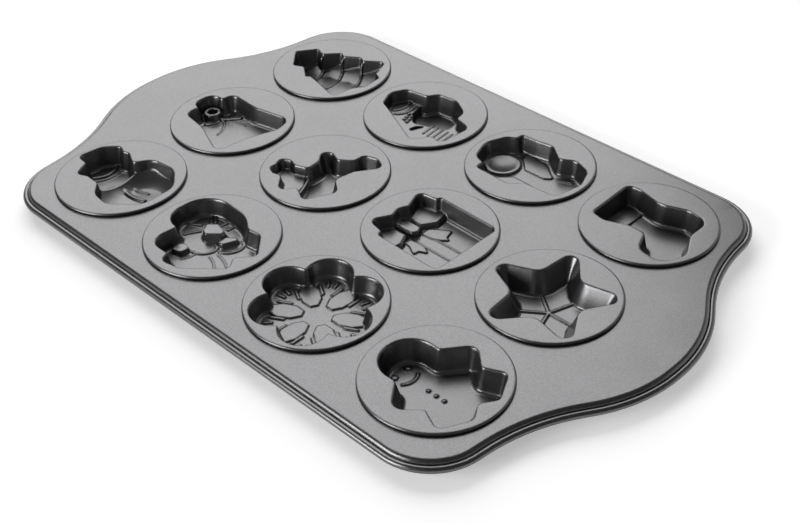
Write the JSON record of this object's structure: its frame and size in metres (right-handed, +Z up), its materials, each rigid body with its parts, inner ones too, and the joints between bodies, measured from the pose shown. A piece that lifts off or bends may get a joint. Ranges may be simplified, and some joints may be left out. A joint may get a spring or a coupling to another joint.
{
  "type": "baking mold",
  "caption": "Shaped baking pan: a flat carrier plate with a wired rolled rim and round pressed cups, each with a holiday-shaped cavity for small cakes.",
  "frame": {"origin": "centre of the pan's plan, on the surface that it stands on", "axes": "+Z up out of the cavities, +Y along the long side towards the tree, bell and snowman cups, +X across towards the tree and stocking cups"},
  "size_m": [0.259, 0.396, 0.013],
  "materials": {
    "coated_sheet": "semi-gloss non-stick coat",
    "wire": "drawn wire"
  },
  "bodies": {
    "root": {"carrier_plate": "coated_sheet", "rim_wire": "wire", "tree_cup": "coated_sheet", "bell_cup": "coated_sheet", "snowman_cup": "coated_sheet", "santa_cup": "coated_sheet", "reindeer_cup": "coated_sheet", "wreath_cup": "coated_sheet", "angel_cup": "coated_sheet", "gift_cup": "coated_sheet", "snowflake_cup": "coated_sheet", "stocking_cup": "coated_sheet", "star_cup": "coated_sheet", "gingerbread_cup": "coated_sheet"}
  },
  "joints": []
}
